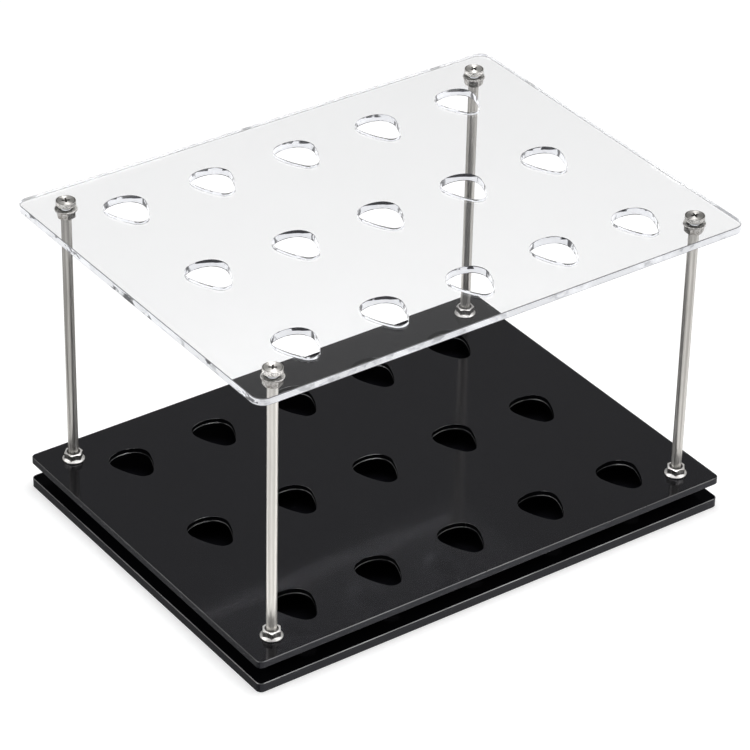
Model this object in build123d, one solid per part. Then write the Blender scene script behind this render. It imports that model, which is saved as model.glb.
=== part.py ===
from build123d import *
import math
import os

# Golf club display rack: a black two-layer base, four steel posts and a clear
# top plate, both plates cut with three rows of five grip-shaped holes.
# Millimetres. +X runs along the long side, -Y is the front, +Z is up, and the
# origin is the middle of the underside of the lower base plate.

# Plates
plate_length = 425.0
plate_width = 318.0
clear_plate_overhang = 3.0
lower_plate_thickness = 8.0
upper_plate_thickness = 6.0
clear_plate_thickness = 6.0
base_gap = 13.5
display_height = 219.5
base_corner_radius = 4.5
clear_corner_radius = 9.5
base_rim_chamfer = 0.5
clear_rim_chamfer = 0.25

# Hole pattern, shared by the clear plate and the upper base plate
hole_columns = 5
hole_rows = 3
hole_pitch_x = 75.5
hole_pitch_y = 110.5
hole_offset_y = -5.0
hole_length = 40.5
hole_width = 33.5
hole_crown_radius = 24.0
hole_shoulder_radius = 12.5
hole_flank_radius = 60.0
hole_tip_radius = 8.0

# Posts, as distances from the base plates' edges to the post axes
post_inset_x = 25.5
post_inset_y = 22.5
post_diameter = 8.0
post_hole_clearance = 0.25
post_top_setback = 1.0
tapped_depth = 16.0

# Flange nuts on the posts
nut_across_flats = 13.0
nut_height = 7.0
nut_flange_diameter = 17.2
nut_flange_rim = 1.1
nut_flange_height = 1.9
thread_clearance = 0.05

# Thumb screws that clamp the clear plate from above
cap_head_diameter = 15.0
cap_head_height = 4.2
cap_head_chamfer = 0.6
cap_screw_diameter = 5.0
cap_screw_length = 16.0
cross_recess_width = 6.6
cross_recess_arm = 1.5
cross_recess_depth = 2.4
cross_recess_turn = 45.0

# Hidden fasteners and spacers of the base
spacer_diameter = 12.0
base_screw_diameter = 5.0
base_screw_length = 20.0
base_screw_head_diameter = 10.0
base_screw_head_angle = 90.0
base_screw_setback = 0.3
base_screw_seat_clearance = 0.05
socket_across_flats = 3.0
socket_depth = 2.0

# Heights that follow from the sizes above
gap_floor = lower_plate_thickness
gap_ceiling = gap_floor + base_gap
base_top = gap_ceiling + upper_plate_thickness
clear_bottom = base_top + display_height
clear_top = clear_bottom + clear_plate_thickness

base_screw_flare = math.tan(math.radians(base_screw_head_angle / 2))

post_x = plate_length / 2 - post_inset_x
post_y = plate_width / 2 - post_inset_y
post_hole_radius = post_diameter / 2 + post_hole_clearance
corners = {
    "front_left": (-post_x, -post_y),
    "front_right": (post_x, -post_y),
    "back_left": (-post_x, post_y),
    "back_right": (post_x, post_y),
}

# How far each fastener was turned when it was tightened, in degrees
lower_nut_turns = {"front_left": 57.0, "front_right": 52.0, "back_left": 45.0, "back_right": 24.0}
upper_nut_turns = {"front_left": 24.0, "front_right": 26.0, "back_left": 7.0, "back_right": 22.0}
cap_turns = {"front_left": 8.0, "front_right": 35.0, "back_left": 20.0, "back_right": 50.0}


def on_circle(centre, radius, toward):
    """The point of a circle that lies in the direction of another point."""
    dx = toward[0] - centre[0]
    dy = toward[1] - centre[1]
    reach = math.hypot(dx, dy)
    return (centre[0] + dx / reach * radius, centre[1] + dy / reach * radius)


def grip_outline():
    """A club grip's section: a shallow crown at +Y, round shoulders and a blunt tip at -Y."""
    crown = (0.0, hole_length / 2 - hole_crown_radius)
    tip = (0.0, -hole_length / 2 + hole_tip_radius)
    shoulder_x = hole_width / 2 - hole_shoulder_radius
    shoulder_y = crown[1] + math.sqrt((hole_crown_radius - hole_shoulder_radius) ** 2 - shoulder_x**2)
    shoulder = (shoulder_x, shoulder_y)

    # The flank's centre lies on the far side, inside both of its neighbours' reach
    to_shoulder = hole_flank_radius - hole_shoulder_radius
    to_tip = hole_flank_radius - hole_tip_radius
    span = math.dist(tip, shoulder)
    along = (to_tip**2 - to_shoulder**2 + span**2) / (2 * span)
    aside = math.sqrt(to_tip**2 - along**2)
    ux = (shoulder[0] - tip[0]) / span
    uy = (shoulder[1] - tip[1]) / span
    flank = (tip[0] + ux * along - uy * aside, tip[1] + uy * along + ux * aside)

    past_shoulder = (2 * shoulder[0] - crown[0], 2 * shoulder[1] - crown[1])
    crown_end = on_circle(shoulder, hole_shoulder_radius, past_shoulder)
    shoulder_end = on_circle(flank, hole_flank_radius, shoulder)
    flank_end = on_circle(flank, hole_flank_radius, tip)
    shoulder_middle = on_circle(
        shoulder,
        hole_shoulder_radius,
        (crown_end[0] + shoulder_end[0] + hole_width, crown_end[1] + shoulder_end[1]),
    )
    flank_middle = on_circle(
        flank,
        hole_flank_radius,
        ((shoulder_end[0] + flank_end[0]) / 2, (shoulder_end[1] + flank_end[1]) / 2),
    )

    def mirrored(point):
        return (-point[0], point[1])

    edges = [ThreePointArc(mirrored(crown_end), (0, hole_length / 2), crown_end)]
    edges += [ThreePointArc(crown_end, shoulder_middle, shoulder_end)]
    edges += [ThreePointArc(shoulder_end, flank_middle, flank_end)]
    edges += [ThreePointArc(flank_end, (0, -hole_length / 2), mirrored(flank_end))]
    edges += [ThreePointArc(mirrored(flank_end), mirrored(flank_middle), mirrored(shoulder_end))]
    edges += [ThreePointArc(mirrored(shoulder_end), mirrored(shoulder_middle), mirrored(crown_end))]
    return make_face(edges)


def grip_holes(bottom, thickness):
    """The cutters for all the grip-shaped holes of one plate."""
    cutter = extrude(grip_outline(), thickness)
    places = GridLocations(hole_pitch_x, hole_pitch_y, hole_columns, hole_rows)
    return [Pos(0, hole_offset_y, bottom) * place * cutter for place in places]


def post_holes(bottom, height, radius):
    """The round cutters where the posts or their screws pass a plate."""
    cutter = extrude(Circle(radius), height)
    return [Pos(x, y, bottom) * cutter for x, y in corners.values()]


def plate(bottom, thickness, overhang, corner_radius, rim_chamfer):
    """A flat plate with rounded corners and lightly eased rims."""
    length = plate_length + 2 * overhang
    width = plate_width + 2 * overhang
    blank = extrude(RectangleRounded(length, width, corner_radius), thickness)
    rims = blank.edges().group_by(Axis.Z)[0] + blank.edges().group_by(Axis.Z)[-1]
    return Pos(0, 0, bottom) * chamfer(rims, rim_chamfer)


def lower_base_plate():
    """The solid floor plate, countersunk from below for the post screws."""
    body = plate(0, lower_plate_thickness, 0, base_corner_radius, base_rim_chamfer)
    cutters = post_holes(0, lower_plate_thickness, base_screw_diameter / 2 + post_hole_clearance)
    setback_growth = base_screw_setback * base_screw_flare
    countersink = countersunk_cone(base_screw_head_diameter / 2 + setback_growth + base_screw_seat_clearance)
    cutters += [Pos(x, y, 0) * countersink for x, y in corners.values()]
    return body - cutters


def upper_base_plate():
    """The drilled plate of the base, held above the lower one by the spacers."""
    body = plate(gap_ceiling, upper_plate_thickness, 0, base_corner_radius, base_rim_chamfer)
    cutters = post_holes(gap_ceiling, upper_plate_thickness, post_hole_radius)
    return body - grip_holes(gap_ceiling, upper_plate_thickness) - cutters


def clear_top_plate():
    """The clear plate that keeps the clubs upright, a little larger than the base."""
    body = plate(
        clear_bottom, clear_plate_thickness, clear_plate_overhang, clear_corner_radius, clear_rim_chamfer
    )
    cutters = post_holes(clear_bottom, clear_plate_thickness, post_hole_radius)
    return body - grip_holes(clear_bottom, clear_plate_thickness) - cutters


def post():
    """A round rod from the lower plate to just under the thumb screw, tapped at both ends."""
    length = clear_top - post_top_setback - gap_floor
    rod = extrude(Circle(post_diameter / 2), length)
    top_bore = Pos(0, 0, length - tapped_depth) * extrude(
        Circle(cap_screw_diameter / 2 + thread_clearance), tapped_depth
    )
    bottom_bore = extrude(Circle(base_screw_diameter / 2 + thread_clearance), tapped_depth)
    return Pos(0, 0, gap_floor) * (rod - top_bore - bottom_bore)


def flange_nut():
    """A hexagon nut on a flange that slopes up to the hexagon's corners, standing at z = 0."""
    corner_radius = nut_across_flats / 2 / math.cos(math.pi / 6)
    hexagon = extrude(RegularPolygon(corner_radius, 6), nut_height)
    flange = Polyline(
        (0, 0),
        (nut_flange_diameter / 2, 0),
        (nut_flange_diameter / 2, nut_flange_rim),
        (corner_radius, nut_flange_height),
        (0, nut_flange_height),
        close=True,
    )
    body = hexagon + revolve(Plane.XZ * make_face(flange), Axis.Z)
    return body - extrude(Circle(post_diameter / 2 + thread_clearance), nut_height)


def thumb_screw():
    """A round head with a cross recess over a threaded shank; the head sits on z = 0."""
    head = extrude(Circle(cap_head_diameter / 2), cap_head_height)
    head = chamfer(head.edges().sort_by(Axis.Z)[-1], cap_head_chamfer)
    from_top = (Align.CENTER, Align.CENTER, Align.MAX)
    arm = Box(cross_recess_width, cross_recess_arm, cross_recess_depth, align=from_top)
    recess = arm + Rot(0, 0, 90) * arm
    head -= Pos(0, 0, cap_head_height) * Rot(0, 0, cross_recess_turn) * recess
    shank = extrude(Circle(cap_screw_diameter / 2), cap_screw_length)
    return head + Pos(0, 0, -cap_screw_length) * shank


def spacer():
    """A plain sleeve round a post, as tall as the gap between the base plates."""
    ring = Circle(spacer_diameter / 2) - Circle(post_hole_radius)
    return Pos(0, 0, gap_floor) * extrude(ring, base_gap)


def countersunk_cone(mouth_radius):
    """A cone at the countersunk screw's angle, from its mouth at z = 0 down to the shank."""
    shank_radius = base_screw_diameter / 2
    height = (mouth_radius - shank_radius) / base_screw_flare
    return Cone(mouth_radius, shank_radius, height, align=(Align.CENTER, Align.CENTER, Align.MIN))


def base_screw():
    """The countersunk screw that pulls a post down on the lower plate."""
    head = countersunk_cone(base_screw_head_diameter / 2)
    shank = extrude(Circle(base_screw_diameter / 2), base_screw_length)
    socket = extrude(RegularPolygon(socket_across_flats / 2, 6, major_radius=False), socket_depth)
    return Pos(0, 0, base_screw_setback) * (head + shank - socket)


def write(name, solid):
    """Save one piece as its own file."""
    solid.label = name
    export_step(solid, f"parts/{name}.step")


os.makedirs("parts", exist_ok=True)
write("lower_base_plate", lower_base_plate())
write("upper_base_plate", upper_base_plate())
write("clear_top_plate", clear_top_plate())
for corner, (x, y) in corners.items():
    at_post = Pos(x, y, 0)
    lower_nut = Pos(0, 0, base_top) * Rot(0, 0, lower_nut_turns[corner]) * flange_nut()
    upper_nut = Pos(0, 0, clear_bottom) * Rot(0, 0, upper_nut_turns[corner]) * Rot(180, 0, 0) * flange_nut()
    cap = Pos(0, 0, clear_top) * Rot(0, 0, cap_turns[corner]) * thumb_screw()
    write(f"post_{corner}", at_post * post())
    write(f"lower_flange_nut_{corner}", at_post * lower_nut)
    write(f"upper_flange_nut_{corner}", at_post * upper_nut)
    write(f"thumb_screw_{corner}", at_post * cap)
    write(f"spacer_{corner}", at_post * spacer())
    write(f"base_screw_{corner}", at_post * base_screw())
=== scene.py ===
import math

import bpy
from mathutils import Matrix, Vector

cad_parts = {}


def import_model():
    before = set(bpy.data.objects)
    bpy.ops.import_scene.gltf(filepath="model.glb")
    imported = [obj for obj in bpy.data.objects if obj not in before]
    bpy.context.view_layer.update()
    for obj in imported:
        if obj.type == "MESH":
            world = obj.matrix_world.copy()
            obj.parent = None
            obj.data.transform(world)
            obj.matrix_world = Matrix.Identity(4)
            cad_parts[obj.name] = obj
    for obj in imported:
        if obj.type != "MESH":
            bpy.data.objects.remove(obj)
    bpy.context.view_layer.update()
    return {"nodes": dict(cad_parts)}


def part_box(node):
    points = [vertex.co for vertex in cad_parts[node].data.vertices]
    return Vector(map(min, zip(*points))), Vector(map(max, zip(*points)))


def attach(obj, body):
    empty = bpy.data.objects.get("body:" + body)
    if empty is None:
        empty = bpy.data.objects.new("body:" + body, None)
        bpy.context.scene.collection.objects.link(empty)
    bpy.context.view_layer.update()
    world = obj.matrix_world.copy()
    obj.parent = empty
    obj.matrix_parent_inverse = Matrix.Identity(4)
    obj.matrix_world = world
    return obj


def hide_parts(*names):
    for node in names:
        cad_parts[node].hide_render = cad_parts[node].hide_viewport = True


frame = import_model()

# Golf club display rack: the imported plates, spacers and base screws get their finish here, and the
# posts, flange nuts and thumb screws get threads, knurls and eased edges. Metres, in the CAD frame.

MM = 0.001
nodes = frame["nodes"]

# The corners' names, and places that the frame gives
CORNERS = ("front_left", "front_right", "back_left", "back_right")
deck_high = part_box("upper_base_plate")[1]
clear_low, clear_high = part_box("clear_top_plate")

# Plates: corner radii, the depth below the deck of a painted highlight line in the deck's holes, and how far
# in a point still counts as on an edge
deck_corner = 4.5 * MM
clear_corner = 9.5 * MM
softened_rim = 0.45 * MM
highlight_line_depth = 4.1 * MM
edge_margin = 0.6 * MM
left_margin = 2 * MM
far_margin = 1 * MM

# Flange nuts: at a softened corner, run is how far it reaches and easing is what it takes off
nut_steps = 144
nut_apothem = 6.5 * MM
nut_corner = nut_apothem / math.cos(math.radians(30))
nut_height = 7 * MM
nut_face_radius = 6.1 * MM
nut_chamfer_slope = math.tan(math.radians(30))
nut_flange_rim = 1.1 * MM
nut_flange_height = 1.9 * MM
nut_bore = 4.05 * MM
nut_seat_chamfer = 0.4 * MM
nut_countersink = 0.55 * MM
countersink_shade = (5.0 * MM, 5.5 * MM)
nut_rounding = 0.25 * MM
nut_corner_easing = 0.08 * MM
collar_inset = 0.5 * MM
root_run = 0.25 * MM
root_radius = 0.06 * MM
root_rise = 0.3 * MM
edge_run = 0.12 * MM
edge_easing = 0.05 * MM
face_run = 0.1 * MM
face_easing = 0.06 * MM

# Thumb screws
knurl_teeth = 40
steps_per_tooth = 4
knurl_depth = 0.22 * MM
knurl_low = 1.1 * MM
knurl_below_top = 0.9 * MM
knurl_runout = 0.25 * MM
head_rounding = 0.28 * MM
head_undercut = 0.7 * MM
undercut_run = 0.05 * MM
undercut_rise = 0.1 * MM
face_land = 1.2 * MM
face_step = 1.4 * MM
step_depth = 0.02 * MM
dish_depth = 0.05 * MM
dish_middle = 0.3 * MM
shaded_ring_inset = 0.75 * MM
recess_reach = 3.3 * MM
recess_width = 1.5 * MM
recess_depth = 2.4 * MM
cutter_above = 1 * MM
cutter_shares = (1.12, 0.45)
cutter_thinning = 0.6
recess_search = 1.15
recess_margin = 0.1 * MM
recess_lip = 0.08 * MM
shank_radius = 2.5 * MM
shank_chamfer = 0.5 * MM
shank_neck = 0.1 * MM
screw_pitch = 0.8 * MM
screw_thread_depth = 0.35 * MM
screw_thread_steps = 60

# Posts
post_steps = 48
post_chamfer = 0.6 * MM
post_chamfer_height = 0.5 * MM
post_plain_rings = 6
thread_pitch = 1.25 * MM
thread_depth = 0.6 * MM
thread_cover = 1.5 * MM
steps_per_pitch = 8
tapped_radius = 2.55 * MM
tapped_depth = 16 * MM

# Studio: the photo's frame in pixels, and a floor just below the rack, so that the two don't share a plane
PHOTO_PIXELS = 750
floor_reach = 12.0
floor_drop = 0.05 * MM
lamp_target = (0, 0, 0.1)

# Edges that turn by more than this stay sharp, and a face that looks up or down by more than this is level
sharp_angle = math.radians(32)
level_tilt = 0.95


# Mesh helpers

def centre_of(node):
    low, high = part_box(node)
    return (low + high) / 2


def turned_mesh(name, columns, close_profile):
    """A mesh swept round Z. Each column is the outline at one angle, as points of (radius, height)."""
    count = len(columns)
    rows = len(columns[0])
    vertices = []
    for index, column in enumerate(columns):
        angle = 2 * math.pi * index / count
        vertices += [(r * math.cos(angle), r * math.sin(angle), z) for r, z in column]
    faces = []
    spans = rows if close_profile else rows - 1
    for i in range(count):
        here, there = i * rows, (i + 1) % count * rows
        for k in range(spans):
            up = (k + 1) % rows
            faces.append((here + k, there + k, there + up, here + up))
    if not close_profile:
        faces.append([i * rows for i in reversed(range(count))])
        faces.append([i * rows + rows - 1 for i in range(count)])
    mesh = bpy.data.meshes.new(name)
    mesh.from_pydata(vertices, [], faces)
    mesh.polygons.foreach_set("use_smooth", [True] * len(mesh.polygons))
    mesh.set_sharp_from_angle(angle=sharp_angle)
    return mesh


def place(name, mesh, matrix, node, material):
    """One detailed piece that stands for its CAD node."""
    piece = bpy.data.objects.new(name, mesh)
    bpy.context.scene.collection.objects.link(piece)
    piece.matrix_world = matrix
    mesh.materials.append(material)
    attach(piece, "root")
    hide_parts(node)
    return piece


def quarter(centre, radius, start, steps=4):
    """Points of a quarter circle, anticlockwise from the start angle in degrees."""
    angles = [math.radians(start + 90 * k / steps) for k in range(steps + 1)]
    return [(centre[0] + radius * math.cos(a), centre[1] + radius * math.sin(a)) for a in angles]


# Node materials

def grey(level):
    return (level, level, level)


def dimmed(colour, share):
    return tuple(share * c for c in colour)


class Surface:
    """A material with one Principled shader, and short calls for its textures."""

    def __init__(self, name, **values):
        self.material = bpy.data.materials.new(name)
        self.material.use_nodes = True
        self.tree = self.material.node_tree
        self.shader = self.tree.nodes["Principled BSDF"]
        self.output = self.tree.nodes["Material Output"]
        for socket, value in values.items():
            self.shader.inputs[socket.replace("_", " ")].default_value = value

    def node(self, kind, **settings):
        made = self.tree.nodes.new(kind)
        for key, value in settings.items():
            setattr(made, key, value)
        return made

    def link(self, source, target):
        self.tree.links.new(source, target)

    def coordinates(self, scale=(1, 1, 1)):
        """Where a point lies on its piece, stretched or flattened by scale."""
        mapping = self.node("ShaderNodeMapping")
        mapping.inputs["Scale"].default_value = scale
        self.link(self.node("ShaderNodeTexCoord").outputs["Object"], mapping.inputs["Vector"])
        return mapping.outputs["Vector"]

    def noise(self, scale, detail, stretch=(1, 1, 1), roughness=0.5):
        texture = self.node("ShaderNodeTexNoise")
        texture.inputs["Scale"].default_value = scale
        texture.inputs["Detail"].default_value = detail
        texture.inputs["Roughness"].default_value = roughness
        self.link(self.coordinates(stretch), texture.inputs["Vector"])
        return texture.outputs["Fac"]

    def span(self, value, to, over=(0.3, 0.7)):
        """The value with the range over stretched onto the range to. Beyond the ends it stays level."""
        spread = self.node("ShaderNodeMapRange")
        ends = (("From Min", over[0]), ("From Max", over[1]), ("To Min", to[0]), ("To Max", to[1]))
        for socket, number in ends:
            spread.inputs[socket].default_value = number
        self.link(value, spread.inputs["Value"])
        return spread.outputs["Result"]

    def blend(self, factor, first, second):
        """A colour between two colours."""
        mix = self.node("ShaderNodeMix", data_type="RGBA")
        mix.inputs["A"].default_value = (*first, 1)
        mix.inputs["B"].default_value = (*second, 1)
        self.link(factor, mix.inputs["Factor"])
        return mix.outputs["Result"]

    def combine(self, operation, first, *others):
        """The values joined by one operation, from left to right."""
        for other in others:
            maths = self.node("ShaderNodeMath", operation=operation)
            for socket, value in zip(maths.inputs, (first, other)):
                if isinstance(value, (int, float)):
                    socket.default_value = value
                else:
                    self.link(value, socket)
            first = maths.outputs["Value"]
        return first

    def total(self, *values):
        return self.combine("ADD", *values)

    def product(self, *values):
        return self.combine("MULTIPLY", *values)

    def largest(self, *values):
        return self.combine("MAXIMUM", *values)

    def less(self, first, second):
        return self.combine("SUBTRACT", first, second)

    def unsigned(self, value):
        maths = self.node("ShaderNodeMath", operation="ABSOLUTE")
        self.link(value, maths.inputs[0])
        return maths.outputs["Value"]

    def vector(self, operation, first, second=None):
        """One operation on a vector. second, where it is given, is a fixed vector."""
        maths = self.node("ShaderNodeVectorMath", operation=operation)
        self.link(first, maths.inputs[0])
        if second:
            maths.inputs[1].default_value = second
        return maths.outputs["Value" if operation == "LENGTH" else "Vector"]

    def along(self, axis):
        """Where a point lies along one axis, in metres."""
        split = self.node("ShaderNodeSeparateXYZ")
        self.link(self.coordinates(), split.inputs["Vector"])
        return split.outputs[axis]

    def from_axis(self):
        """How far a point lies from the piece's own upright axis."""
        return self.vector("LENGTH", self.coordinates((1, 1, 0)))

    def normal(self):
        return self.node("ShaderNodeNewGeometry").outputs["Normal"]

    def facing(self, axis):
        """How far a face looks along one axis, from -1 to 1."""
        split = self.node("ShaderNodeSeparateXYZ")
        self.link(self.normal(), split.inputs["Vector"])
        return split.outputs[axis]

    def upright(self):
        """1 on walls and 0 on level faces."""
        return self.span(self.unsigned(self.facing(2)), (1.0, 0.0), (0.1, 0.5))

    def sloping(self, least):
        """1 on chamfers, which are neither upright nor level, and 0 elsewhere."""
        tilt = self.unsigned(self.facing(2))
        not_level = self.combine("LESS_THAN", tilt, level_tilt)
        return self.product(self.combine("GREATER_THAN", tilt, least), not_level)

    def outer_wall(self, high, corner_radius):
        """1 on the outer edge of a plate that reaches to high, and 0 on its faces and inside its holes."""
        beyond = (high.x - corner_radius, high.y - corner_radius, 0)
        inset = self.vector("SUBTRACT", self.vector("ABSOLUTE", self.coordinates((1, 1, 0))), beyond)
        reach = self.vector("LENGTH", self.vector("MAXIMUM", inset))
        return self.product(self.combine("GREATER_THAN", reach, corner_radius - edge_margin), self.upright())

    def eased_rims(self, radius):
        """Normals that round the rims over."""
        eased = self.node("ShaderNodeBevel", samples=6)
        eased.inputs["Radius"].default_value = radius
        return eased.outputs["Normal"]

    def round_the_axis(self):
        """The direction in which turned or ground metal is scratched."""
        return self.node("ShaderNodeTangent", direction_type="RADIAL", axis="Z").outputs["Tangent"]

    def bump(self, height, strength, distance, normal=None):
        relief = self.node("ShaderNodeBump")
        relief.inputs["Strength"].default_value = strength
        relief.inputs["Distance"].default_value = distance
        self.link(height, relief.inputs["Height"])
        if normal:
            self.link(normal, relief.inputs["Normal"])
        self.link(relief.outputs["Normal"], self.shader.inputs["Normal"])

    def overlay(self, second, share):
        """Lay another shader over what the surface shows so far, by a share from 0 to 1."""
        mix = self.node("ShaderNodeMixShader")
        self.link(share, mix.inputs["Fac"])
        self.link(self.output.inputs["Surface"].links[0].from_socket, mix.inputs[1])
        self.link(second.outputs["BSDF"], mix.inputs[2])
        self.link(mix.outputs["Shader"], self.output.inputs["Surface"])

    def simple_finish(self, pattern, darker, lighter, roughness, relief):
        """Colour, roughness and bump from one pattern. relief is the bump's height."""
        self.link(self.blend(pattern, darker, lighter), self.shader.inputs["Base Color"])
        self.link(self.span(pattern, roughness), self.shader.inputs["Roughness"])
        self.bump(pattern, 0.3, relief)
        return self.material


def black_acrylic(name, gap_shade, flame, has_holes):
    """Glossy black sheet with softened rims. Its walls carry painted shade, more on the short sides than on
    the long ones, and so can its faces that look up.
    """
    s = Surface(name, IOR=1.49, Specular_Tint=(0.88, 0.88, 1.0, 1))
    wall = s.upright()
    haze = s.noise(35, 6, roughness=0.65)
    s.link(s.blend(haze, (0.0016, 0.0016, 0.0018), (0.0030, 0.0030, 0.0034)), s.shader.inputs["Base Color"])
    s.link(s.total(s.span(haze, (0.08, 0.12)), s.product(wall, 0.12)), s.shader.inputs["Roughness"])
    s.bump(s.noise(90, 3), 0.08, 0.02 * MM, s.eased_rims(softened_rim))

    # Painted shade: a dark, dull film lies on the walls, more on the short sides, and by the given share on
    # the faces that look up, which on the lower plate lie in the gap under the deck
    shade_film = s.node("ShaderNodeBsdfDiffuse")
    s.link(s.blend(haze, (0.002, 0.002, 0.003), (0.005, 0.005, 0.006)), shade_film.inputs["Color"])
    short_side = s.combine("GREATER_THAN", s.unsigned(s.facing(0)), 0.7)
    looks_up = s.combine("GREATER_THAN", s.facing(2), 0.5)
    side_shade = s.product(s.total(s.product(short_side, 0.44), 0.28), wall)
    s.overlay(shade_film, s.largest(side_shade, s.product(looks_up, gap_shade)))

    # The flamed chamfer round the plate catches the light as a thin, broken line
    flamed = s.node("ShaderNodeBsdfAnisotropic")
    s.link(s.blend(haze, grey(0.6 * flame), grey(flame)), flamed.inputs["Color"])
    s.link(s.span(haze, (0.25, 0.40)), flamed.inputs["Roughness"])
    s.overlay(flamed, s.product(s.sloping(0.2), s.span(s.noise(24, 3), (0.45, 0.80), (0.4, 0.6))))

    if has_holes:
        hole_highlights(s, wall)
    return s.material


def hole_highlights(s, wall):
    """Painted highlights in each hole of the deck: a broken line along its rim and, down its wall, a bright
    line.
    """
    hole = s.less(wall, s.outer_wall(deck_high, deck_corner))
    depth = s.less(deck_high.z, s.along(2))
    highlight_line = s.span(s.unsigned(s.less(depth, highlight_line_depth)), (1.0, 0.0), (0.2 * MM, 0.6 * MM))
    rim_highlight = s.span(depth, (1.0, 0.0), (0.25 * MM, 0.6 * MM))
    highlight_tone = s.span(s.noise(48, 3, (1, 1, 0.2)), (0.0, 1.0), (0.40, 0.68))
    rim_breaks = s.span(s.noise(41, 3, (1, 1, 0.2)), (0.0, 1.0), (0.46, 0.56))

    # Rim and line are painted highlights on a flat wall: their normals lean up, so that they catch the light
    # from above
    painted_highlight = s.node("ShaderNodeBsdfAnisotropic")
    painted_highlight.inputs["Roughness"].default_value = 0.42
    s.link(s.vector("NORMALIZE", s.vector("ADD", s.normal(), (0, 0, 1.7))), painted_highlight.inputs["Normal"])
    s.link(s.blend(highlight_tone, grey(0.03), grey(0.26)), painted_highlight.inputs["Color"])
    s.overlay(painted_highlight, s.product(hole, s.largest(s.product(highlight_line, 0.9), s.product(rim_highlight, rim_breaks))))


def edge_marks(s, outer, near, height):
    """Dark marks in the painted glow of the clear plate's edge: faint flecks, stronger flecks at the left end
    and a painted dark line along each rim.
    """
    faint = s.span(s.noise(70, 3, (1, 1, 1.6), 0.6), (0.0, 0.35), (0.52, 0.66))
    left_flecks = s.span(s.noise(52, 4, (1, 1, 2.2), 0.62), (0.0, 0.9), (0.56, 0.63))
    left_end = s.combine("LESS_THAN", s.along(0), clear_low.x + left_margin)
    flecks = s.product(near, s.largest(faint, s.product(left_flecks, left_end)))
    upper_rim = s.span(height, (0.0, 0.55), (0.84, 0.90))
    lower_rim = s.span(height, (0.5, 0.0), (0.07, 0.12))
    return s.product(outer, s.largest(flecks, upper_rim, lower_rim))


def hole_reflections(s, hole, height):
    """Painted reflections in the clear plate's holes: a dark crescent at the crown, mottled shoulders and
    thin rims.
    """
    to_front_left = s.total(s.product(s.facing(0), -0.55), s.product(s.facing(1), -0.83))
    taper = s.span(to_front_left, (0.0, 0.52), (0.62, 0.97))
    crescent = s.span(s.total(height, taper), (0.0, 1.0), (1.02, 1.10))
    crescent = s.product(crescent, s.span(s.noise(75, 2, (1, 1, 0.4)), (0.0, 1.0), (0.43, 0.47)))
    beside_crown = s.span(to_front_left, (1.0, 0.0), (0.62, 0.72))
    before_tip = s.span(to_front_left, (0.0, 1.0), (-0.1, 0.1))
    mottle = s.span(s.noise(210, 3, (1, 1, 0.6)), (0.0, 0.85), (0.50, 0.58))
    shoulders = s.product(beside_crown, before_tip, mottle)
    upper_rim = s.span(height, (0.0, 1.0), (0.86, 0.91))
    lower_rim = s.span(height, (1.0, 0.0), (0.06, 0.10))
    rims = s.product(s.largest(upper_rim, lower_rim), s.span(s.noise(95, 2), (0.35, 1.0), (0.46, 0.56)))
    return s.product(hole, s.largest(crescent, shoulders, rims))


def clear_acrylic():
    """Clear sheet whose cut edges carry a painted glow: milky white with light of their own, and painted dark
    glints and rims.
    """
    s = Surface("clear_acrylic_sheet", IOR=1.49, Transmission_Weight=1.0)
    tint = s.blend(s.noise(8, 2), (0.903, 0.905, 0.909), (0.920, 0.922, 0.926))
    s.link(tint, s.shader.inputs["Base Color"])
    s.link(s.span(s.noise(160, 5), (0.0, 0.012), (0.45, 0.75)), s.shader.inputs["Roughness"])

    # Painted glow: the walls are milky white and give off light of their own, less so on the two far sides
    wall = s.upright()
    outer = s.outer_wall(clear_high, clear_corner)
    height = s.span(s.along(2), (0.0, 1.0), (clear_low.z, clear_high.z))
    far_end = s.combine("GREATER_THAN", s.along(0), clear_high.x - far_margin)
    far_side = s.combine("GREATER_THAN", s.along(1), clear_high.y - far_margin)
    far = s.largest(far_end, far_side)
    near, hole = s.less(1.0, far), s.less(wall, outer)
    marks = s.largest(edge_marks(s, outer, near, height), hole_reflections(s, hole, height))
    painted_glow = s.node("ShaderNodeBsdfPrincipled")
    painted_glow.inputs["Roughness"].default_value = 0.25
    painted_glow.inputs["Emission Color"].default_value = (0.95, 0.96, 1.0, 1)
    s.link(s.blend(marks, (0.93, 0.94, 0.97), (0.02, 0.02, 0.03)), painted_glow.inputs["Base Color"])
    s.link(s.span(marks, (0.42, 0.0), (0.0, 0.6)), painted_glow.inputs["Emission Strength"])
    s.overlay(painted_glow, s.product(wall, s.less(0.86, s.product(far, 0.40))))

    # The chamfers all round were left matt
    matt = s.node("ShaderNodeBsdfDiffuse")
    s.link(s.blend(s.noise(40, 3), (0.16, 0.16, 0.165), (0.26, 0.26, 0.265)), matt.inputs["Color"])
    s.overlay(matt, s.product(s.sloping(0.3), 0.9))

    # Light passes through without a caustic, so the plate's shadow stays pale
    passing = s.node("ShaderNodeBsdfTransparent")
    passing.inputs["Color"].default_value = (0.92, 0.93, 0.94, 1)
    s.overlay(passing, s.node("ShaderNodeLightPath").outputs["Is Shadow Ray"])
    return s.material


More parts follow.
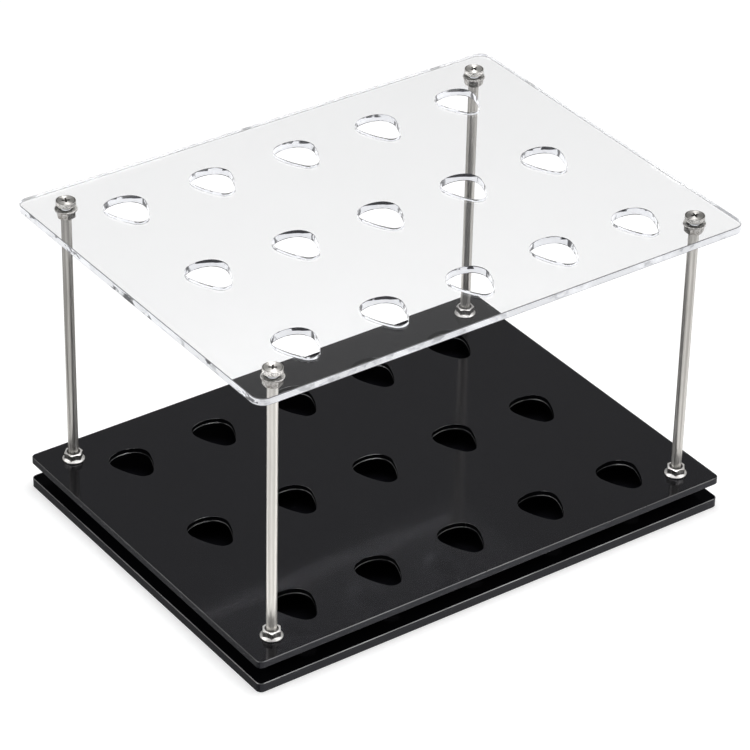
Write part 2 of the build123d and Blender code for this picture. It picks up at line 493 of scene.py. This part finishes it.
def drawn_steel(name, painted_light):
    """Bright rod, ground round its girth, with fine drawing marks and broad painted reflection streaks along
    it. Each rod's brightness is painted light of its own.
    """
    s = Surface(name, Metallic=1.0, Anisotropic=0.6, Anisotropic_Rotation=0.25)
    deep, bright = painted_light ** 2.2, painted_light ** 0.75
    reflection_streaks = s.noise(330, 2, (1, 1, 0.010), 0.5)
    fine = s.noise(900, 4, (1, 1, 0.012), 0.6)
    marks = s.total(s.product(reflection_streaks, 0.7), s.product(fine, 0.3))

    # Painted light: the colour is lifted toward the foot, so the rod is brightest there and the marks fade
    foot_light = s.span(s.along(2), (0.12, 0.0), (0.04, 0.17))
    tone = s.span(s.total(marks, foot_light), (0.0, 1.0), (0.36, 0.58))
    dark, light = dimmed((0.46, 0.44, 0.41), deep), dimmed((0.96, 0.93, 0.88), bright)
    s.link(s.blend(tone, dark, light), s.shader.inputs["Base Color"])
    s.link(s.span(fine, (0.16, 0.24)), s.shader.inputs["Roughness"])
    tangent = s.round_the_axis()
    s.link(tangent, s.shader.inputs["Tangent"])
    s.bump(marks, 0.35, 0.05 * MM)

    # A softer sheen lies over it, more where the painted reflection streaks are light
    sheen = s.node("ShaderNodeBsdfAnisotropic")
    sheen.inputs["Anisotropy"].default_value = 0.7
    dark, light = dimmed((0.62, 0.60, 0.56), deep), dimmed((1.0, 0.97, 0.92), bright)
    s.link(s.blend(tone, dark, light), sheen.inputs["Color"])
    s.link(s.span(fine, (0.46, 0.54)), sheen.inputs["Roughness"])
    s.link(tangent, sheen.inputs["Tangent"])
    s.overlay(sheen, s.span(reflection_streaks, (0.40, 0.62)))
    return s.material


def plated_steel(name, wall_shade, mottling):
    """Plated nut steel: level and sloping faces shine, and the hexagon's walls are coloured with a painted
    shade.
    """
    s = Surface(name, Metallic=1.0)
    cloud = s.noise(260, 5, roughness=0.6)
    wall = s.upright()
    mottle = s.span(s.noise(520, 3, roughness=0.6), (0.6, 1.0), (0.42, 0.58))
    faces = s.span(cloud, (0.0, mottling), (0.45, 0.65))
    # Painted shade: the countersink at the bore is coloured dark, inside the bright rim of the hexagon
    countersink = s.span(s.from_axis(), (0.95, 0.0), countersink_shade)
    tone = s.largest(s.product(wall, mottle), faces, countersink)
    s.link(s.blend(tone, (0.97, 0.95, 0.92), wall_shade), s.shader.inputs["Base Color"])
    s.link(s.total(s.span(cloud, (0.36, 0.50)), s.product(wall, -0.14)), s.shader.inputs["Roughness"])
    s.bump(cloud, 0.2, 0.02 * MM)
    return s.material


def turned_steel(name, painted_light, head_radius):
    """Lathe-turned screw steel: rings on the face, a painted shade ring inside its rim and a bright side.
    Each head's brightness is painted light of its own.
    """
    s = Surface(name, Metallic=1.0, Anisotropic=0.95, Anisotropic_Rotation=0.25)
    cloud = s.noise(260, 5, roughness=0.6)
    wall = s.upright()
    rings = s.node("ShaderNodeTexWave", wave_type="RINGS", rings_direction="Z")
    rings.inputs["Scale"].default_value = 900
    rings.inputs["Distortion"].default_value = 0.6
    s.link(s.coordinates(), rings.inputs["Vector"])
    # Painted shade: a dark ring is coloured inside the rim, where the mesh has no groove
    from_shaded_ring = s.unsigned(s.less(s.from_axis(), head_radius - shaded_ring_inset))
    groove = s.product(s.span(from_shaded_ring, (0.8, 0.0), (0.15 * MM, 0.4 * MM)), s.less(1.0, wall))
    face_spots = s.span(cloud, (0.0, 0.15))
    wall_spots = s.product(wall, s.span(s.noise(700, 3), (0.0, 0.6), (0.52, 0.62)))
    tone = s.largest(groove, face_spots, wall_spots)
    bright = dimmed((1.0, 0.98, 0.94), painted_light)
    s.link(s.blend(tone, bright, (0.10, 0.095, 0.09)), s.shader.inputs["Base Color"])
    face_roughness = s.span(rings.outputs["Fac"], (0.42, 0.54), (0.0, 1.0))
    s.link(s.total(face_roughness, s.product(wall, -0.26)), s.shader.inputs["Roughness"])
    s.link(s.round_the_axis(), s.shader.inputs["Tangent"])
    s.bump(rings.outputs["Fac"], 0.3, 0.03 * MM)
    return s.material


def recess_steel():
    """Painted shade for the inside of the cross recess: dark, mottled steel."""
    s = Surface("recess_steel", Metallic=1.0)
    recess_mottle = s.noise(900, 5, roughness=0.7)
    return s.simple_finish(recess_mottle, (0.07, 0.065, 0.06), (0.20, 0.19, 0.18), (0.35, 0.55), 0.03 * MM)


def zinc_steel():
    """The screws under the base."""
    s = Surface("zinc_plated_steel", Metallic=1.0)
    cloud = s.noise(400, 5, roughness=0.7)
    return s.simple_finish(cloud, (0.50, 0.51, 0.54), (0.66, 0.67, 0.69), (0.26, 0.42), 0.03 * MM)


def black_nylon():
    """The sleeves between the base plates."""
    s = Surface("black_nylon")
    grain = s.noise(700, 5, roughness=0.7)
    return s.simple_finish(grain, (0.012, 0.012, 0.012), (0.022, 0.022, 0.023), (0.5, 0.7), 0.05 * MM)


# Flange nuts

def nut_columns(flange_radius):
    """The nut's section at each angle: flange rim, sloping collar, hexagon wall, chamfer, face and bore."""
    slope = (nut_flange_height - nut_flange_rim) / (flange_radius - nut_corner)
    rim = flange_radius - nut_rounding
    columns = []
    for index in range(nut_steps):
        angle = math.degrees(2 * math.pi * index / nut_steps)
        wall = nut_apothem / math.cos(math.radians(angle % 60 - 30))
        wall = min(wall, nut_corner - nut_corner_easing)
        collar_top = nut_flange_rim + (flange_radius - wall) * slope
        chamfer_low = nut_height - (wall - nut_face_radius) * nut_chamfer_slope
        column = [(nut_bore + nut_seat_chamfer, 0)]
        column += quarter((rim, nut_rounding), nut_rounding, -90)
        column += quarter((rim, nut_flange_rim - nut_rounding), nut_rounding, 0)[:3]
        column += [(flange_radius - collar_inset, nut_flange_rim + collar_inset * slope)]
        column += [(wall + root_run, collar_top - root_run * slope)]
        column += [(wall + root_radius, collar_top + root_radius), (wall, collar_top + root_rise)]
        column += [(wall, chamfer_low - edge_run), (wall - edge_easing, chamfer_low + edge_easing)]
        column += [(nut_face_radius + face_run, nut_height - face_easing)]
        column += [(nut_face_radius - face_run, nut_height), (nut_bore + nut_countersink, nut_height)]
        column += [(nut_bore, nut_height - nut_countersink), (nut_bore, nut_seat_chamfer)]
        columns.append(column)
    return columns


def add_nut(node, turn, upside_down, material):
    low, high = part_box(node)
    flange_radius = (high.x - low.x) / 2
    mesh = turned_mesh(node + "_detail", nut_columns(flange_radius), close_profile=True)
    middle = centre_of(node)
    seat = high.z if upside_down else low.z
    matrix = Matrix.Translation((middle.x, middle.y, seat)) @ Matrix.Rotation(math.radians(turn), 4, "Z")
    if upside_down:
        matrix = matrix @ Matrix.Rotation(math.pi, 4, "X")
    place(node + "_detail", mesh, matrix, node, material)


# Thumb screws

def screw_columns(head_radius, head_height, shank_length):
    """A knurled round head over a threaded shank; the head's seat is at height 0."""
    count = knurl_teeth * steps_per_tooth
    half_tooth = steps_per_tooth / 2
    top, band_top = head_height, head_height - knurl_below_top
    threaded = shank_length - 2 * shank_chamfer
    columns = []
    for index in range(count):
        dip = knurl_depth * abs(index % steps_per_tooth - half_tooth) / half_tooth
        phase = index / count
        column = [(shank_radius - shank_chamfer, -shank_length)]
        for k in range(screw_thread_steps + 1):
            z = threaded * (k / screw_thread_steps - 1) - shank_chamfer
            groove = abs((z / screw_pitch - phase) % 1 - 0.5) * 2
            column.append((shank_radius - screw_thread_depth * groove, z))
        column += [(shank_radius + shank_neck, 0), (head_radius - head_undercut, 0)]
        column += [(head_radius - undercut_run, head_undercut + undercut_rise)]
        column += [(head_radius, knurl_low - knurl_runout), (head_radius - dip, knurl_low)]
        column += [(head_radius - dip, band_top), (head_radius, band_top + knurl_runout)]
        column += quarter((head_radius - head_rounding, top - head_rounding), head_rounding, 0)
        column += [(head_radius - face_land, top), (head_radius - face_step, top - step_depth)]
        column += [(dish_middle, top - dish_depth)]
        columns.append(column)
    return columns


def recess_cutter(top):
    """Two crossing blades for the cross recess, wider above the head than at the recess's bottom."""
    mesh = bpy.data.meshes.new("recess_cutter")
    vertices, faces = [], []
    for turn in (0, 90):
        start = len(vertices)
        for z, share in zip((top + cutter_above, top - recess_depth), cutter_shares):
            x = recess_reach * share
            y = recess_width / 2 * (1 - cutter_thinning + cutter_thinning * share)
            for sx, sy in ((-1, -1), (1, -1), (1, 1), (-1, 1)):
                corner = Vector((sx * x, sy * y, z))
                vertices.append(Matrix.Rotation(math.radians(turn), 3, "Z") @ corner)
        quads = ((0, 1, 2, 3), (7, 6, 5, 4), (0, 4, 5, 1), (1, 5, 6, 2), (2, 6, 7, 3), (3, 7, 4, 0))
        faces += [tuple(start + v for v in quad) for quad in quads]
    mesh.from_pydata(vertices, [], faces)
    return mesh


def cut(mesh, cutter_mesh):
    """The mesh less the cutter, as a new mesh."""
    body = bpy.data.objects.new("cut_body", mesh)
    cutter = bpy.data.objects.new("cutter", cutter_mesh)
    for made in (body, cutter):
        bpy.context.scene.collection.objects.link(made)
    boolean = body.modifiers.new("recess", "BOOLEAN")
    boolean.operation = "DIFFERENCE"
    boolean.solver = "EXACT"
    boolean.use_self = True
    boolean.object = cutter
    bpy.context.view_layer.update()
    evaluated = body.evaluated_get(bpy.context.evaluated_depsgraph_get())
    result = bpy.data.meshes.new_from_object(evaluated)
    for made in (body, cutter):
        bpy.data.objects.remove(made)
    result.set_sharp_from_angle(angle=sharp_angle)
    return result


def darken_recess(mesh, top, material):
    """Paints shade into the recess: its faces that lie below the head's top get the dark recess material."""
    mesh.materials.append(material)
    recess_low, recess_high = top - recess_depth - recess_margin, top - recess_lip
    for face in mesh.polygons:
        middle = face.center
        near_middle = math.hypot(middle.x, middle.y) < recess_reach * recess_search
        if near_middle and recess_low < middle.z < recess_high:
            face.material_index = 1


def add_thumb_screw(corner, turn, material, recess_material):
    node = f"thumb_screw_{corner}"
    low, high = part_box(node)
    middle = centre_of(node)
    head_radius, head_height = (high.x - low.x) / 2, high.z - clear_high.z
    columns = screw_columns(head_radius, head_height, clear_high.z - low.z)
    mesh = cut(turned_mesh(node, columns, close_profile=False), recess_cutter(head_height))
    rotation = Matrix.Rotation(math.radians(turn), 4, "Z")
    matrix = Matrix.Translation((middle.x, middle.y, clear_high.z)) @ rotation
    place(node + "_detail", mesh, matrix, node, material)
    darken_recess(mesh, head_height, recess_material)


# Posts

def post_heights(length, low_end, high_start):
    """Heights of the rings along a post: close together where it is threaded, below and above."""
    fine = thread_pitch / steps_per_pitch
    low_count = int((low_end - post_chamfer_height) / fine)
    high_count = int((length - post_chamfer_height - high_start) / fine)
    plain = high_start - low_end
    heights = [post_chamfer_height + fine * k for k in range(low_count)]
    heights += [low_end + plain * k / post_plain_rings for k in range(post_plain_rings + 1)]
    heights += [high_start + fine * k for k in range(1, high_count)]
    return heights


def add_post(corner, material):
    """A rod that is threaded where its nuts sit and tapped for the thumb screw."""
    node = f"post_{corner}"
    low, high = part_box(node)
    middle = centre_of(node)
    radius, length = (high.x - low.x) / 2, high.z - low.z
    low_end = deck_high.z + nut_height - thread_cover - low.z
    high_start = clear_low.z - nut_height + thread_cover - low.z
    columns = []
    for index in range(post_steps):
        column = [(radius - post_chamfer, 0)]
        for z in post_heights(length, low_end, high_start):
            inside = max(low_end - z, z - high_start) / thread_pitch
            depth = thread_depth * min(1, max(0, inside))
            groove = abs((z / thread_pitch - index / post_steps) % 1 - 0.5) * 2
            column.append((radius - depth * groove, z))
        column += [(radius - post_chamfer, length), (tapped_radius, length)]
        column += [(tapped_radius, length - tapped_depth)]
        columns.append(column)
    mesh = turned_mesh(node + "_detail", columns, close_profile=False)
    matrix = Matrix.Translation((middle.x, middle.y, low.z))
    place(node + "_detail", mesh, matrix, node, material)


# Assembly

# The angles, in degrees, at which the nuts and the screws' cross recesses stopped turning
lower_turns = {"front_left": 57, "front_right": 52, "back_left": 45, "back_right": 24}
upper_turns = {"front_left": 24, "front_right": 26, "back_left": 7, "back_right": 22}
head_turns = {"front_left": 53, "front_right": 80, "back_left": 65, "back_right": 95}
# Painted light: each head and each rod gets a brightness of its own, lit and shaded copies of one finish
head_painted_light = {"front_left": 1.0, "front_right": 0.66, "back_left": 0.78, "back_right": 0.96}
rod_painted_light = {"front_left": 1.0, "front_right": 0.72, "back_left": 0.5, "back_right": 0.6}

# Lit and shaded copies: the walls' painted shade is darker on the base nuts than on the nuts under the clear
# plate, whose faces are more mottled
lower_plated = plated_steel("plated_steel_base_nuts", (0.06, 0.056, 0.052), 0.2)
upper_plated = plated_steel("plated_steel_plate_nuts", (0.16, 0.145, 0.13), 0.8)
recess_shade = recess_steel()
for corner in CORNERS:
    add_nut(f"lower_flange_nut_{corner}", lower_turns[corner], False, lower_plated)
    add_nut(f"upper_flange_nut_{corner}", upper_turns[corner], True, upper_plated)
    low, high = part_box(f"thumb_screw_{corner}")
    turned = turned_steel(f"turned_steel_{corner}", head_painted_light[corner], (high.x - low.x) / 2)
    add_thumb_screw(corner, head_turns[corner], turned, recess_shade)
    add_post(corner, drawn_steel(f"drawn_steel_{corner}", rod_painted_light[corner]))

nylon, zinc = black_nylon(), zinc_steel()
finishes = {
    "lower_base_plate": black_acrylic("black_acrylic_floor", gap_shade=0.92, flame=0.34, has_holes=False),
    "upper_base_plate": black_acrylic("black_acrylic_deck", gap_shade=0.0, flame=0.20, has_holes=True),
    "clear_top_plate": clear_acrylic(),
}
for corner in CORNERS:
    finishes[f"spacer_{corner}"] = nylon
    finishes[f"base_screw_{corner}"] = zinc
for name, finish in finishes.items():
    mesh = nodes[name].data
    mesh.materials.clear()
    mesh.materials.append(finish)


# Floor, light and camera

def floor():
    """A pale floor that the camera, and what mirrors or passes light, sees as white."""
    mesh = bpy.data.meshes.new("floor")
    square = ((-1, -1), (1, -1), (1, 1), (-1, 1))
    mesh.from_pydata([(x * floor_reach, y * floor_reach, -floor_drop) for x, y in square], [], [(0, 1, 2, 3)])
    plane = bpy.data.objects.new("floor", mesh)
    bpy.context.scene.collection.objects.link(plane)
    s = Surface("studio_floor", Roughness=0.9)
    s.shader.inputs["Specular IOR Level"].default_value = 0.0
    s.link(s.blend(s.noise(3, 2), grey(0.55), grey(0.57)), s.shader.inputs["Base Color"])
    path = s.node("ShaderNodeLightPath").outputs
    seen = s.largest(path["Is Camera Ray"], path["Is Glossy Ray"], path["Is Transmission Ray"])
    s.shader.inputs["Emission Color"].default_value = (1, 1, 1, 1)
    s.link(s.product(seen, 0.54), s.shader.inputs["Emission Strength"])
    mesh.materials.append(s.material)


def softbox(name, at, size, power):
    light = bpy.data.lights.new(name, "AREA")
    light.shape = "RECTANGLE"
    light.size, light.size_y = size
    light.energy = power
    lamp = bpy.data.objects.new(name, light)
    bpy.context.scene.collection.objects.link(lamp)
    lamp.location = at
    lamp.rotation_euler = (Vector(lamp_target) - Vector(at)).to_track_quat("-Z", "Y").to_euler()


def world(strength):
    sky = bpy.data.worlds.new("studio")
    bpy.context.scene.world = sky
    sky.use_nodes = True
    background = sky.node_tree.nodes["Background"]
    background.inputs["Color"].default_value = (1, 1, 1, 1)
    background.inputs["Strength"].default_value = strength


def camera(focal, azimuth, elevation, roll, aim, distance):
    """focal is in pixels of the photo's frame; azimuth is the way that the camera looks, from +X."""
    a, e, r = (math.radians(v) for v in (azimuth, elevation, roll))
    forward = Vector((math.cos(a) * math.cos(e), math.sin(a) * math.cos(e), -math.sin(e)))
    side = Vector((math.sin(a), -math.cos(a), 0))
    up = side.cross(forward)
    right = side * math.cos(r) + up * math.sin(r)
    up = up * math.cos(r) - side * math.sin(r)
    data = bpy.data.cameras.new("camera")
    data.sensor_width = 36
    data.lens = focal / PHOTO_PIXELS * data.sensor_width
    data.clip_end = 50
    seen_from = bpy.data.objects.new("camera", data)
    bpy.context.scene.collection.objects.link(seen_from)
    pose = Matrix((right, up, -forward)).transposed().to_4x4()
    pose.translation = Vector(aim) - forward * distance
    seen_from.matrix_world = pose
    bpy.context.scene.camera = seen_from


floor()
world(strength=0.30)
softbox("top_softbox", at=(0.2, 0.1, 2.3), size=(1.2, 1.2), power=29)
softbox("right_softbox", at=(1.13, -1.25, 1.51), size=(2.2, 0.35), power=10)
softbox("left_softbox", at=(-1.69, 0.62, 1.36), size=(2.2, 0.35), power=10)
camera(focal=3686.0, azimuth=54.08, elevation=32.78, roll=1.27, aim=(0.0088, 0.01412, 0.1), distance=2.8103)

scene = bpy.context.scene
scene.view_settings.view_transform = "Standard"
